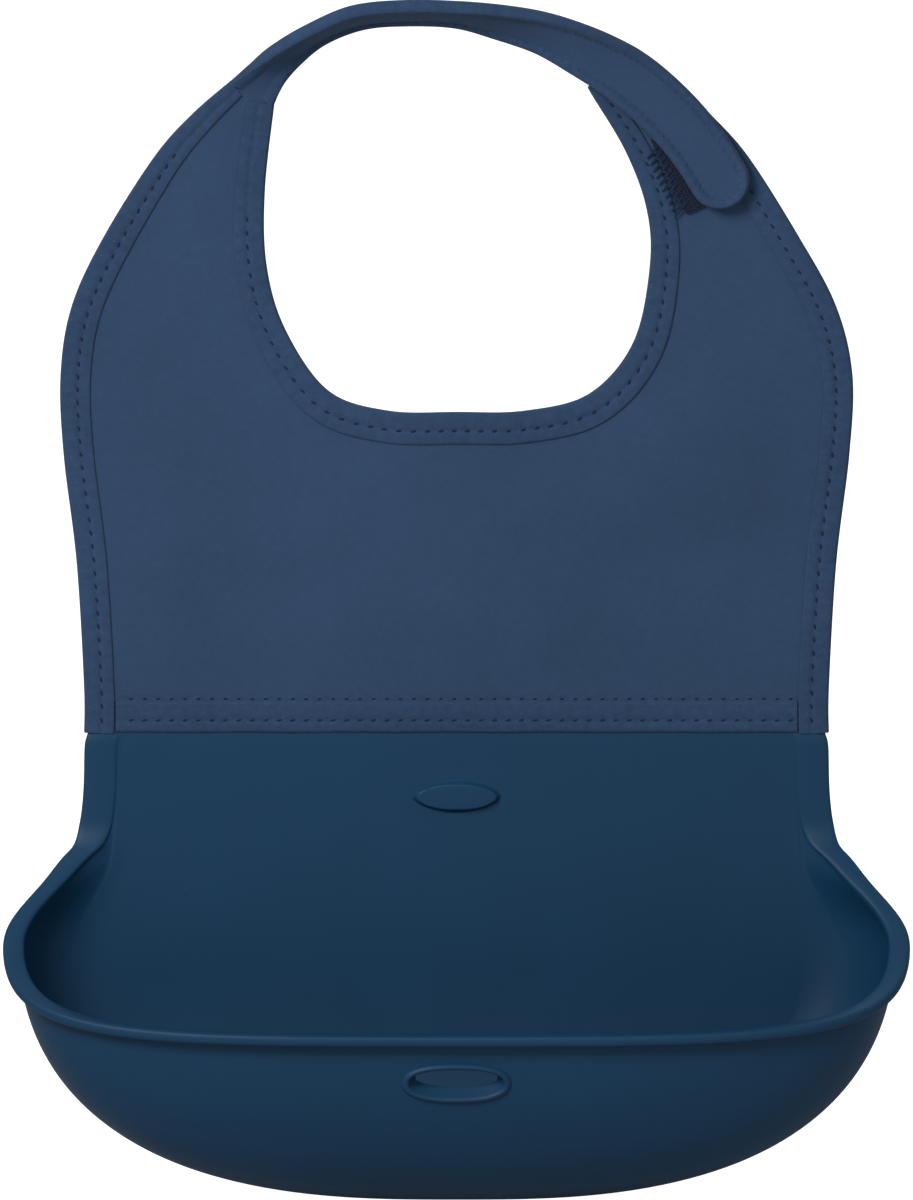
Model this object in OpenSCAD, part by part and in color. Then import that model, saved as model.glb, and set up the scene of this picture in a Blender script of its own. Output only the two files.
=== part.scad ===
// Roll-up baby bib: a cloth top with a neck strap, sewn to a moulded silicone pocket.
// Millimetres, +Z up as worn, front towards -Y, origin at the centre of the neck opening.

/* [Cloth top] */
// Width across the hem
hem_w = 215; // [205:1:225]
// Width across the chest, at its widest
chest_w = 228; // [222:1:234]
// Height from the hem's lower edge to the centre of the neck opening
top_h = 151; // [148:0.5:154]
// Radius of the neck opening at the sides and the bottom
neck_r = 57; // [56:0.5:58]
// Thickness of one layer of cloth
cloth_t = 0.95; // [0.8:0.05:1]

/* [Bindings] */
// Width of the folded tape round the side edges
side_bind_w = 8; // [6:0.5:9]
// Width of the folded tape round the neck
neck_bind_w = 8.5; // [7:0.5:9]
// Width of the folded tape round the strap and its tab
strap_bind_w = 3.2; // [2.6:0.1:3.4]
// Thickness of the binding tape
tape_t = 0.6; // [0.4:0.1:0.7]
// Height of the stitched band over the silicone's sewn edge
hem_band_h = 11; // [9:0.5:13]

/* [Strap] */
// Radius of the strap's centre line over the top
strap_r = 94.7; // [94:0.1:95.5]
// Width of the strap's flat end
strap_w = 16; // [15:0.5:17]
// Angle on the strap's arc at which the fastening tab begins
tab_angle = 52; // [50:1:54]
// Thickness of the hook patch and the loop patch
patch_t = 1.2; // [0.8:0.1:1.3]

/* [Silicone pocket] */
// Overall width of the moulding across its rim
pocket_w = 263.4; // [260:0.2:268]
// How far the pocket's front stands forward of the back panel
pocket_depth = 66; // [60:1:72]
// Height of the moulding below the hem
pocket_h = 132; // [128:1:138]
// Drop of the front of the rim below the hem
rim_drop = 78; // [74:1:82]
// Wall thickness of the silicone
wall_t = 2.2; // [1.8:0.1:2.6]
// Thickness of the bead along the rim
rim_t = 3.6; // [3:0.1:4]

/* [Stitching] */
// Distance from one stitch to the next
stitch_pitch = 3.9; // [3.5:0.1:5]
// Length of one stitch
stitch_len = 2.7; // [2:0.1:3]
// Thickness of the thread
thread_d = 0.5; // [0.4:0.05:0.6]

/* [Hidden] */

cloth_blue = "#34496A";
tape_blue = "#2E456A";
thread_blue = "#1E2F4E";
silicone_blue = "#1F3D5C";
patch_blue = "#22344F";
label_white = "#D8DADC";

seam_z = -top_h;                     // the hem's lower edge
fold_gap = 3;                        // from the hem down to the fold line
fold_z = seam_z - fold_gap;
part_gap = 0.3;                      // between pieces that move apart
cloth_gap = 0.05;                    // between the two layers of cloth
pack_half = cloth_t + cloth_gap;     // half the thickness of the two layers
bind_half = pack_half + tape_t;      // and with the binding round them
edge_proud = 0.65;                   // the tape stands this far out past the cloth's edge
skim = 0.02;                         // hair's breadth between the strap's cloth and its tape
stitch_lift = 0.25;                  // keeps the strap's stitches clear of its twisted tape
tuck = 2;                            // the hem band overlaps the cloth by this much

// Side edge of the cloth, right half, from the hem up to the shoulder.
side_edge = [
    [hem_w / 2, seam_z], [hem_w / 2, seam_z + 14], [hem_w / 2 + 2, seam_z + 50],
    [chest_w / 2 - 0.8, seam_z + 82], [chest_w / 2, seam_z + 105], [chest_w / 2 - 4, seam_z + 125],
    [100.1, -6], [85.4, 17.5], [74.4, 30]
];
shoulder_lean = 1.5;                 // the shoulders lie this much to the left of the hem
lean_low = seam_z + 105;
lean_high = 40;                      // the lean grows over this height
// Where the left shoulder narrows into the strap.
horn_out = [-64.9, 39.6];
horn_in = [-53.2, 33.5];
// Neck edge from the left shoulder, round the bottom, to the right shoulder.
neck_edge = [
    horn_in, [-neck_r + 1, 8], [-neck_r + 1.5, -14], [-50, -33], [-37.5, -51],
    [-20, -neck_r], [0, -neck_r - 0.4], [20, -neck_r], [38.8, -51.9], [51.7, -36.6],
    [neck_r - 0.5, -14], [neck_r - 1.5, 3], [49.3, 20], [39.5, 36.5], [36.6, 42]
];
// Round end of the right shoulder, under the strap.
right_tip = [[63, 40], [53, 47.6], [46, 50.2], [39.5, 48.5], [36.6, 42]];

// The strap's two edges, by station from the left shoulder to the tab: x, y, z.
strap_arc_mid = [-6.6, -34.4];
tab_y = -4.9;
outer_stations = [
    [-64.5, 0, 40.3], [-58.5, -4.2, 45.4], [-52.5, -8.4, 50.4], [-43, -11.6, 56.4],
    [-30, -13, 62.2], [-14.5, -13.4, 63.9], [0, -13.4, 63.6], [13, -13, 62.6],
    [25.5, -11.7, 60.6], [37.9, -9.5, 56.8], [49.2, -6.7, 51.5]
];
inner_stations = [
    [-52.8, 0, 34.3], [-50.1, 0.9, 40.2], [-45.8, 1.4, 45.9], [-38.5, 1.4, 52],
    [-27.5, 1.3, 56.4], [-15.5, 1.0, 57.6], [-0.5, 0.4, 57.1], [11.5, -0.7, 53.8],
    [22.8, -2.3, 49.8], [31.8, -4.0, 44.4], [40.8, -4.5, 38.5]
];

// ---------- curves ----------
// A point on the smooth curve from p1 to p2, with its two neighbours.
function blend_point(p0, p1, p2, p3, t) =
    0.5 * (2 * p1 + (p2 - p0) * t + (2 * p0 - 5 * p1 + 4 * p2 - p3) * t * t
    + (3 * p1 - p0 - 3 * p2 + p3) * t * t * t);
// A smooth curve through all the points, with n steps between each two.
function smooth(pts, n) = concat(
    [for (i = [0:len(pts) - 2]) for (k = [0:n - 1])
        blend_point(pts[max(i - 1, 0)], pts[i], pts[i + 1], pts[min(i + 2, len(pts) - 1)], k / n)],
    [pts[len(pts) - 1]]);
function unit(v) = v / norm(v);
// The side edge on the right (way 1) or the left (way -1), with the shoulders' lean.
function leaning(pts, way) = [for (p = pts)
    [way * p[0] - shoulder_lean * min(1, max(0, (p[1] - lean_low) / lean_high)), p[1]]];
function reversed(pts) = [for (i = [len(pts) - 1:-1:0]) pts[i]];
// Direction of a path at point i.
function heading(path, i) =
    let (d = path[min(i + 1, len(path) - 1)] - path[max(i - 1, 0)]) d / norm(d);
// The path moved sideways to its left, by one distance or by a list with one for each point.
function beside(path, distance) = [
    for (i = [0:len(path) - 1])
        let (d = heading(path, i), w = is_list(distance) ? distance[i] : distance)
        path[i] + w * [-d[1], d[0]]
];
// Widths along a path that narrow from the middle towards its two ends.
function tapered(path, wide, start, finish) = [
    for (i = [0:len(path) - 1])
        let (t = 2 * i / (len(path) - 1) - 1)
        wide - (wide - (t < 0 ? start : finish)) * pow(abs(t), 3)
];
// The strip between two distances to the left of a path, as a closed outline.
function strip(path, near, far) = concat(beside(path, near), reversed(beside(path, far)));
// Point and direction at a distance along a path.
function along(path, distance, i = 0) =
    let (step = path[i + 1] - path[i], length = norm(step))
    (distance <= length || i == len(path) - 2)
        ? [path[i] + step * distance / length, step / length]
        : along(path, distance - length, i + 1);
function path_length(path, i = 0) =
    i == len(path) - 1 ? 0 : norm(path[i + 1] - path[i]) + path_length(path, i + 1);

steps = 5;
right_side = smooth(concat(leaning(side_edge, 1), right_tip), steps);
left_down = reversed(smooth(concat(leaning(side_edge, -1), [horn_out]), steps));
neck_up = reversed(smooth(neck_edge, steps));
cloth_outline = concat(reversed(left_down), reversed(neck_up), reversed(right_side));
neck_widths = tapered(neck_up, neck_bind_w, 4, 7);
left_widths = tapered(left_down, side_bind_w, 4.6, side_bind_w);
right_widths = tapered(right_side, side_bind_w, side_bind_w, 3);

// ---------- strap ----------
function arc_point(r, a) = strap_arc_mid + r * [cos(a), sin(a)];
function on_strap(r, a, y) = let (p = arc_point(r, a)) [p[0], y, p[1]];
tab_gap_angle = part_gap / strap_r * 90 / PI;
outer_curve = smooth(concat(outer_stations,
    [on_strap(strap_r + strap_w / 2, tab_angle + tab_gap_angle, tab_y)]), 4);
inner_curve = smooth(concat(inner_stations,
    [on_strap(strap_r - strap_w / 2, tab_angle + tab_gap_angle, tab_y)]), 4);
function strap_mid(i) = (outer_curve[i] + inner_curve[i]) / 2;
function strap_across(i) = unit(outer_curve[i] - inner_curve[i]);
function strap_half(i) = norm(outer_curve[i] - inner_curve[i]) / 2;
function strap_run(i) = strap_mid(min(i + 1, len(outer_curve) - 1)) - strap_mid(max(i - 1, 0));
function strap_front(i) = unit(cross(strap_run(i), strap_across(i)));
// A point of the strap at station i: side (-1 inner edge, 1 outer edge), distance past it, height.
function strap_point(i, side, past, height) =
    strap_mid(i) + strap_across(i) * side * (strap_half(i) + past) + strap_front(i) * height;

// Whether one point of the strap's section lies nearer its outer edge than another.
function outwards(from, to) =
    from[0] == to[0] ? from[0] * from[1] < to[0] * to[1] : from[0] < to[0];

// A closed solid along the strap from a section of [side, past, height] rows.
module strap_sweep(section) {
    n = len(section);
    last = len(outer_curve) - 1;
    points = [for (i = [0:last]) for (s = section) strap_point(i, s[0], s[1], s[2])];
    // Every face is halved from its outer corner here to its inner corner at the next station, so
    // that layers that lie on each other stay parallel where the strap twists.
    walls = [for (i = [0:last - 1]) for (k = [0:n - 1])
        let (a = i * n + k, b = i * n + (k + 1) % n)
        each (outwards(section[k], section[(k + 1) % n])
            ? [[b, a, a + n], [b + n, b, a + n]] : [[b, a, b + n], [b + n, a, a + n]])];
    start = [for (k = [0:n - 1]) k];
    finish = [for (k = [n - 1:-1:0]) last * n + k];
    polyhedron(points, concat(walls, [start, finish]), 4);
}
function layer_section(low, high) = [
    [1, 0, low], [1, 0, high], [1, -strap_bind_w, high], [-1, -strap_bind_w, high],
    [-1, 0, high], [-1, 0, low], [-1, -strap_bind_w, low], [1, -strap_bind_w, low]];
function fold_section(side) = [
    [side, edge_proud, -bind_half], [side, edge_proud, bind_half],
    [side, -strap_bind_w, bind_half], [side, -strap_bind_w, pack_half + skim],
    [side, skim, pack_half + skim], [side, skim, -pack_half - skim],
    [side, -strap_bind_w, -pack_half - skim], [side, -strap_bind_w, -bind_half]
];

// ---------- tab ----------
tab_start = tab_angle - tab_gap_angle;
tip_angle = 29.3;
tip_centre = arc_point(strap_r, tip_angle);
tip_out = [cos(tip_angle), sin(tip_angle)];
tip_ahead = [sin(tip_angle), -cos(tip_angle)];
tab_half = strap_w / 2;
tab_edge = concat(
    [for (k = [0:6]) arc_point(strap_r - tab_half, tab_start + (tip_angle - tab_start) * k / 7)],
    [for (a = [0:15:180]) tip_centre + tab_half * (sin(a) * tip_ahead - cos(a) * tip_out)],
    [for (k = [1:7]) arc_point(strap_r + tab_half, tip_angle + (tab_start - tip_angle) * k / 7)]);

// ---------- silicone pocket ----------
bead_out = 4.2;                                 // the rim bead stands out from the wall
bead_in = 3.2;                                  // and runs in over the panel at the sides
wall_half = pocket_w / 2 - bead_out;
corner_r = 26;                                  // back corners of the pocket, seen from above
half_t = wall_t / 2;
side_y = half_t - corner_r;
bowl_mid_y = -30;
rim_start = 32;                                 // drop at which the rim leaves the back panel
widest = 50;                                    // drop at which the pocket starts to narrow
front_start = 70;                               // drop at which the front starts to curve under
throat_share = 0.932;                           // width of the panel's foot, of the rim's width
throat_low = 39;                                // drop at which the sides start to widen
throat_run = 19;                                // and the height over which they do
flare_out = 1.7;                                // the panel's foot widens by this much first
front_angles = [5, 12, 20, 29, 38, 48, 58, 69, 80, 90];
front_power = 2 / 3;                            // squareness of the front, seen from above
panel_edge = hem_w / 2 + edge_proud;
fold_slope = 18;                                // each side of the thinned edge at the fold line
thin_end = part_gap + 0.05;
thinning = half_t / tan(fold_slope) - thin_end; // height of the thinned edge

// Share of the full width and depth that the pocket keeps at a drop below the hem.
function lower(h, from, p, q, bottom) =
    h <= from ? 1 : pow(max(0, 1 - pow((h - from) / (bottom - from), p)), 1 / q);
function throat(h) = throat_share
    + (1 - throat_share) * pow(sin(90 * min(1, max(0, (h - throat_low) / throat_run))), 2);
function width_share(h, bottom) = throat(h) * lower(h, widest, 2.5, 2.7, bottom);
function depth_share(h, bottom) = lower(h, front_start, 2.1, 2.1, bottom);
// Drop of the rim below the hem, by how far forward it is.
function rim_h(y) = let (t = min(1, max(0, (-half_t - y) / (pocket_depth - half_t))))
    rim_start + (rim_drop - rim_start) * (1 - pow(1 - t, 1.6));
// Points of the pocket's level section: round its back corner, then across its front.
function corner_point(inset, a) = let (r = corner_r - inset)
    [wall_half - corner_r + r * cos(a), side_y + r * sin(a)];
function front_point(inset, a) = [
    (wall_half - inset) * pow(cos(a), front_power),
    side_y - (pocket_depth + side_y - inset) * pow(sin(a), front_power)];

// The moulding is drawn as columns that run down it from its edge. A row holds the edge point,
// the direction out of the sheet there, the share of pocket bead, and on the outside and the
// inside the level positions at the column's top and foot.
panel_top_x = 98;
side_drops = [6, 12, 18, 24, 28.5];
function top_column(x) = [
    [x, 0, fold_z - thin_end - thinning], [0, 0, 1], -1,
    [[x, half_t], [0.95 * x, half_t]], [[x, -half_t], [0.95 * x, -half_t]]];
function side_column(h, a) = let (flare = pow(h / 28.5, 4),
    x = panel_edge - bead_out + flare_out * flare) [
    [x, -0.2 * flare, seam_z - h], [1, 0, 0], 0,
    [[x / throat(0), half_t], corner_point(0, a)],
    [[(x - wall_t - bead_in) / throat(0), -half_t], corner_point(wall_t, a)]];
function rim_column(p, inner, out) = let (h = rim_h(p[1])) [
    [p[0] * width_share(h, pocket_h), p[1], seam_z - h], [out[0], min(0, out[1]), 0],
    min(1, pow(max(0, -p[1]) / 14, 0.7)), [p, p], [inner, inner]];
right_columns = concat(
    [for (i = [0:4]) top_column(panel_top_x * i / 4)],
    [for (i = [0:4]) side_column(side_drops[i], 84 - 5 * i)],
    [for (a = [60:-15:0])
        rim_column(corner_point(0, a), corner_point(wall_t, a), [1, 0])],
    [for (a = front_angles)
        rim_column(front_point(0, a), front_point(wall_t, a), [pow(cos(a), 1.1), -pow(sin(a), 1.1)])]);
function column_run(i) = right_columns[min(i + 1, len(right_columns) - 1)][0]
    - right_columns[max(i - 1, 0)][0] + (i == len(right_columns) - 1 ? [-0.01, 0, 0] : [0, 0, 0]);
function mix(a, b, t) = a * (1 - t) + b * t;
// The edge's own section, from the outside round to the inside: thinned, or a rounded bead.
function edge_section(share) = share < 0
    ? [for (n = [0, 0.4, 0.8, 1]) [n * thinning, -(half_t + (thin_end * tan(fold_slope) - half_t) * n)],
        each [for (n = [1, 0.8, 0.4, 0]) [n * thinning, half_t + (thin_end * tan(fold_slope) - half_t) * n]]]
    : let (back = mix(half_t, rim_t / 2, share), front = mix(half_t + 0.6, rim_t / 2, share),
        c = 0.45 * back, a = -wall_t - bead_in * (1 - share)) [
        [0, -back], [bead_out - c, -back], [bead_out, c - back], [bead_out, front - c],
        [bead_out - c, front], [a + c, front], [a, front - c], [a, mix(half_t, -back, share)]];
function edge_point(i, q) = let (c = right_columns[i], s = edge_section(c[2])[q],
    out = unit(c[1]), up = unit(cross(column_run(i), out))) c[0] + out * s[0] + up * s[1];
// A point down column i at share f of its height, on the outside (side 3) or the inside (side 4).
function wall_point(i, f, side) = let (c = right_columns[i], top = seam_z - c[0][2],
    bottom = side == 3 ? pocket_h : pocket_h - wall_t, h = mix(top, bottom, f),
    p = mix(c[side][0], c[side][1], pow(sin(90 * min(1, f / 0.4)), 2)), deep = depth_share(h, bottom))
    [p[0] * width_share(h, bottom), bowl_mid_y * (1 - deep) + p[1] * deep, seam_z - h];
wall_rows = 12;
function row_share(k) = 1 - pow(1 - k / (wall_rows + 1), 2.2);
function mirror_point(p) = [-p[0], p[1], p[2]];
function whole_ring(half) = concat(half, [for (i = [len(half) - 2:-1:1]) mirror_point(half[i])]);
right_all = [0:len(right_columns) - 1];
moulding_rings = concat(
    [for (k = [wall_rows:-1:1]) whole_ring([for (i = right_all) wall_point(i, row_share(k), 3)])],
    [for (q = [0:7]) whole_ring([for (i = right_all) edge_point(i, q)])],
    [for (k = [1:wall_rows]) whole_ring([for (i = right_all) wall_point(i, row_share(k), 4)])]);

// A closed solid through rings of equal length, gathered to one point at each end.
module gathered_loft(rings, first_point, last_point) {
    n = len(rings[0]);
    last = len(rings) - 1;
    points = concat([for (ring = rings) each ring], [first_point, last_point]);
    walls = [for (i = [0:last - 1]) for (k = [0:n - 1])
        let (a = i * n + k, b = i * n + (k + 1) % n) each [[a, b, b + n], [a, b + n, a + n]]];
    first_fan = [for (k = [0:n - 1]) [(k + 1) % n, k, (last + 1) * n]];
    last_fan = [for (k = [0:n - 1]) [last * n + k, last * n + (k + 1) % n, (last + 1) * n + 1]];
    polyhedron(points, concat(walls, first_fan, last_fan), 4);
}

slot_w = 27;
slot_h = 8;
slot_drop = 91.5;
slot_lean = 11;
ring_w = 2;
ring_proud = 1;
button_w = 25;
button_h = 9;
button_drop = 18.8;
button_proud = 1.8;

// ---------- helpers that place flat work ----------
// A flat outline in the cloth's plane, made solid from y = low to y = high.
module sheet_solid(low, high) {
    translate([0, high, 0]) rotate([90, 0, 0]) linear_extrude(high - low) children();
}
// A section drawn as [y, z], run across the bib.
module across(width) {
    rotate([90, 0, 90]) linear_extrude(width, center = true) children();
}
// Tape folded round the edge that runs with the cloth on its left.
module folded_tape(path, width) {
    difference() {
        sheet_solid(-bind_half, bind_half) polygon(strip(path, -edge_proud, width));
        sheet_solid(-pack_half, pack_half) polygon(strip(path, 0, width * 1.1));
    }
}
// A row of stitches beside a path, on the face at y.
module stitch_row(path, y, pitch = stitch_pitch, length = stitch_len) {
    total = path_length(path);
    count = floor((total - 2) / pitch);
    for (k = [0:count - 1]) {
        spot = along(path, (total - (count - 1) * pitch) / 2 + k * pitch);
        translate([spot[0][0], y - thread_d / 2, spot[0][1]])
            rotate([0, -atan2(spot[1][1], spot[1][0]), 0])
            cube([length, thread_d, thread_d], center = true);
    }
}

// ---------- cloth top ----------
cloth_low_z = seam_z + hem_band_h - tuck;
module cloth_shape() {
    intersection() {
        polygon(cloth_outline);
        translate([-200, cloth_low_z]) square([400, 400]);
    }
}
module front_cloth() color(cloth_blue) sheet_solid(-pack_half, -cloth_gap) cloth_shape();
module back_lining() color(cloth_blue) sheet_solid(cloth_gap, pack_half) cloth_shape();
// The neck tape stops at the side tape, which runs round the right shoulder's tip.
module neck_binding() color(tape_blue) difference() {
    folded_tape(neck_up, neck_widths);
    sheet_solid(-2 * bind_half, 2 * bind_half)
        polygon(strip(right_side, -edge_proud - cloth_gap, [for (w = right_widths) w + cloth_gap]));
}
module left_binding() color(tape_blue) folded_tape(left_down, left_widths);
module right_binding() color(tape_blue) folded_tape(right_side, right_widths);

module hem_band(low, high) {
    width = hem_w - 2 * (side_bind_w + 0.6);
    sheet_solid(low, high) translate([-width / 2, seam_z]) square([width, hem_band_h]);
}
module hem_band_front() color(tape_blue) hem_band(-bind_half, -pack_half);
module hem_band_back() color(tape_blue) hem_band(pack_half, bind_half);

// The silicone's thin top edge, sewn inside the hem, thinned below it to the fold line.
module silicone_flange() color(silicone_blue) {
    half = fold_gap * tan(fold_slope);
    point_half = thin_end * tan(fold_slope);
    across(hem_w - 0.8) polygon([
        [-half, cloth_low_z], [-half, seam_z], [-point_half, fold_z + thin_end],
        [point_half, fold_z + thin_end], [half, seam_z], [half, cloth_low_z]]);
}

patch_mid = [65.1, 14.4];
patch_turn = 115;
patch_len = 25;
patch_w = 9.2;
module loop_patch() color(patch_blue) sheet_solid(-pack_half - patch_t, -pack_half)
    translate(patch_mid) rotate(patch_turn) square([patch_len, patch_w], center = true);
module loop_patch_stitches() color(thread_blue) {
    edge = 1.2;
    along_dir = [cos(patch_turn), sin(patch_turn)];
    across_dir = [-sin(patch_turn), cos(patch_turn)];
    l = patch_len / 2 - edge;
    w = patch_w / 2 - edge;
    for (s = [-1, 1])
        stitch_row([patch_mid + s * w * across_dir - l * along_dir,
            patch_mid + s * w * across_dir + l * along_dir], -pack_half - patch_t, 3.4, 2.2);
}

label_w = 24;
label_h = 14;
module care_label() color(label_white) sheet_solid(pack_half, pack_half + 0.4)
    translate([-hem_w / 2 + side_bind_w + 3, seam_z + 26]) square([label_w, label_h]);

module neck_stitches() color(thread_blue)
    stitch_row(beside(neck_up, neck_widths * 0.55), -bind_half);
module left_stitches() color(thread_blue)
    stitch_row(beside(left_down, left_widths * 0.55), -bind_half);
module right_stitches() color(thread_blue)
    stitch_row(beside(right_side, right_widths * 0.55), -bind_half);
module hem_stitches(z) {
    half = hem_w / 2 - side_bind_w - 1;
    stitch_row([[-half, z], [half, z]], -bind_half);
}
module hem_upper_stitches() color(thread_blue) hem_stitches(seam_z + hem_band_h - 1.2);
module hem_lower_stitches() color(thread_blue) hem_stitches(seam_z + 3.6);

// ---------- strap ----------
module strap_face() color(cloth_blue) strap_sweep(layer_section(cloth_gap, pack_half));
module strap_lining() color(cloth_blue) strap_sweep(layer_section(-pack_half, -cloth_gap));
module strap_outer_binding() color(tape_blue) strap_sweep(fold_section(1));
module strap_inner_binding() color(tape_blue) strap_sweep(reversed(fold_section(-1)));
module strap_stitches() color(thread_blue) {
    for (side = [-1, 1]) for (i = [1:len(outer_curve) - 2]) {
        spot = strap_point(i, side, -strap_bind_w / 2, bind_half + thread_d / 2 + stitch_lift);
        multmatrix([
            for (r = [0:2]) [unit(strap_run(i))[r], strap_across(i)[r], strap_front(i)[r], spot[r]]
        ]) cube([2.2, thread_d, thread_d], center = true);
    }
}

// ---------- tab ----------
module tab_layer(low, high) {
    sheet_solid(tab_y + low, tab_y + high) polygon(tab_edge);
}
module tab_face() color(cloth_blue) tab_layer(-pack_half, -cloth_gap);
module tab_lining() color(cloth_blue) tab_layer(cloth_gap, pack_half);
module tab_binding() color(tape_blue) translate([0, tab_y, 0]) folded_tape(tab_edge, strap_bind_w);
hook_mid = arc_point(strap_r - 0.3, 40.5);
hook_len = 27;
module hook_patch() color(patch_blue)
    sheet_solid(tab_y + pack_half, tab_y + pack_half + patch_t)
    translate(hook_mid) rotate(130.5) square([hook_len, strap_w - 2 * strap_bind_w - 1.6], center = true);
module tab_stitches() color(thread_blue)
    stitch_row(beside(tab_edge, strap_bind_w / 2), tab_y - bind_half, 3.4, 2.2);

// ---------- silicone pocket ----------
module stadium(w, h) {
    square([w - h, h], center = true);
    for (s = [-1, 1]) translate([s * (w - h) / 2, 0]) circle(h / 2, $fn = 48);
}
module slot_place() {
    front_y = mix(bowl_mid_y, -pocket_depth, depth_share(slot_drop, pocket_h));
    translate([0, front_y, seam_z - slot_drop]) rotate([90 + slot_lean, 0, 0]) children();
}
// The raised button is a pointed oval: where two equal circles overlap.
module button() {
    bow_r = (pow(button_w, 2) + pow(button_h, 2)) / (4 * button_h);
    translate([0, 0, seam_z - button_drop]) rotate([90, 0, 0]) linear_extrude(half_t + button_proud)
        intersection() {
            translate([0, bow_r - button_h / 2]) circle(bow_r, $fn = 120);
            translate([0, button_h / 2 - bow_r]) circle(bow_r, $fn = 120);
        }
}
module silicone_pocket() color(silicone_blue) difference() {
    union() {
        gathered_loft(moulding_rings,
            [0, bowl_mid_y, seam_z - pocket_h], [0, bowl_mid_y, seam_z - pocket_h + wall_t]);
        slot_place() translate([0, 0, -wall_t - 0.6]) linear_extrude(wall_t + 0.6 + ring_proud)
            stadium(slot_w + 2 * ring_w, slot_h + 2 * ring_w);
        button();
    }
    slot_place() linear_extrude(20, center = true) stadium(slot_w, slot_h);
}

front_cloth();
back_lining();
neck_binding();
left_binding();
right_binding();
hem_band_front();
hem_band_back();
silicone_flange();
loop_patch();
care_label();
neck_stitches();
left_stitches();
right_stitches();
hem_upper_stitches();
hem_lower_stitches();
loop_patch_stitches();
strap_face();
strap_lining();
strap_outer_binding();
strap_inner_binding();
strap_stitches();
tab_face();
tab_lining();
tab_binding();
hook_patch();
tab_stitches();
silicone_pocket();
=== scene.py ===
# %% [markdown]
# # A roll-up baby bib
# A cloth top with a neck strap is sewn to one silicone moulding, which makes the lower panel and an
# open pocket. The solid model fixes every size. This lesson loads it, and then makes each piece
# again with the softness, stitches and finish that the real one has.

# %% Load the solid model
import math
import random
import bmesh
import bpy
from mathutils import Matrix, Vector, noise


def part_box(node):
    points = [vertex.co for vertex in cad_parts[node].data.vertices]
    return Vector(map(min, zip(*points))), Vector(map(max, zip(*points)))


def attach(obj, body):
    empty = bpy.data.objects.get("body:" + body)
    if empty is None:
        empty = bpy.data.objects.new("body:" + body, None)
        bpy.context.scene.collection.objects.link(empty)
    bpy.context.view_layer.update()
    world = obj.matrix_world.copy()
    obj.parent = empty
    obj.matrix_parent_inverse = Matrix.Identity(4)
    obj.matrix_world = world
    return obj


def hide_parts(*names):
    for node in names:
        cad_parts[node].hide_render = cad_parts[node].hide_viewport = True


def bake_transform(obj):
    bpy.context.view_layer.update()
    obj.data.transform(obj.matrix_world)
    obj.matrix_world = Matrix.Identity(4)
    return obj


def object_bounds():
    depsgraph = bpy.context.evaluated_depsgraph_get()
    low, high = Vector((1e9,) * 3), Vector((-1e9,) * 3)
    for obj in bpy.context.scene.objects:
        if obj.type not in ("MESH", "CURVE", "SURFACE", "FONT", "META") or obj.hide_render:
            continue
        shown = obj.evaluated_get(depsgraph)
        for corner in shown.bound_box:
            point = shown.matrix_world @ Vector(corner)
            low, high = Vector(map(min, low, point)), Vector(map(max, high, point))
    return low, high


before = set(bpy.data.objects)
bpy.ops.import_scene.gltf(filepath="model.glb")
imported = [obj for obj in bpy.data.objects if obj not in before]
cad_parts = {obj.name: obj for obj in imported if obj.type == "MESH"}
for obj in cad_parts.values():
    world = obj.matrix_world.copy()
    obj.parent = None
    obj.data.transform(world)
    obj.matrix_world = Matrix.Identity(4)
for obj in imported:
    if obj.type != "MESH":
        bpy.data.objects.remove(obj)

cad_box = [list(corner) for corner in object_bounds()]
MM = 0.001
seam_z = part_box("hem_band_front")[0].z / MM

# %% [markdown]
# ## Helpers
# Lengths below are in millimetres, as a maker would write them. Most pieces of a bib are strips or
# shells, so one helper makes a grid with Blender's own operator and lets a small function put each
# of its points in place. A strip whose grid meets itself is closed by merging the doubled points.

# %% A grid that a function shapes
def shaped_grid(across, along, place, wide=1.0, long=1.0, close_ends=False):
    bm = bmesh.new()
    bmesh.ops.create_grid(bm, x_segments=across, y_segments=along, size=0.5)
    flat = {v: (v.co.x + 0.5, v.co.y + 0.5) for v in bm.verts}
    cloth_map = bm.loops.layers.uv.new("cloth_map")
    for face in bm.faces:
        for loop in face.loops:
            u, t = flat[loop.vert]
            loop[cloth_map].uv = (u * wide * MM, t * long * MM)
    for v, (u, t) in flat.items():
        v.co = Vector(place(u, t)) * MM
    bmesh.ops.remove_doubles(bm, verts=bm.verts, dist=0.002 * MM)
    if close_ends:
        rim = [e for e in bm.edges if e.is_boundary]
        bmesh.ops.holes_fill(bm, edges=rim, sides=0)
    bmesh.ops.recalc_face_normals(bm, faces=bm.faces)
    return bm


# %% A finished piece from a bmesh
def make_piece(name, bm, material, sharp=50):
    for face in bm.faces:
        face.smooth = True
    for edge in bm.edges:
        edge.smooth = not (edge.is_manifold and edge.calc_face_angle(0) > math.radians(sharp))
    mesh = bpy.data.meshes.new(name)
    bm.to_mesh(mesh)
    bm.free()
    mesh.materials.append(material)
    piece = bpy.data.objects.new(name, mesh)
    bpy.context.scene.collection.objects.link(piece)
    return piece


def map_from_front(bm, depth_share=0.0):
    """Lays the cloth pattern on a piece as seen from the front, in metres."""
    cloth_map = bm.loops.layers.uv.get("cloth_map") or bm.loops.layers.uv.new("cloth_map")
    for face in bm.faces:
        for loop in face.loops:
            loop[cloth_map].uv = (loop.vert.co.x + depth_share * loop.vert.co.y, loop.vert.co.z)


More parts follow.
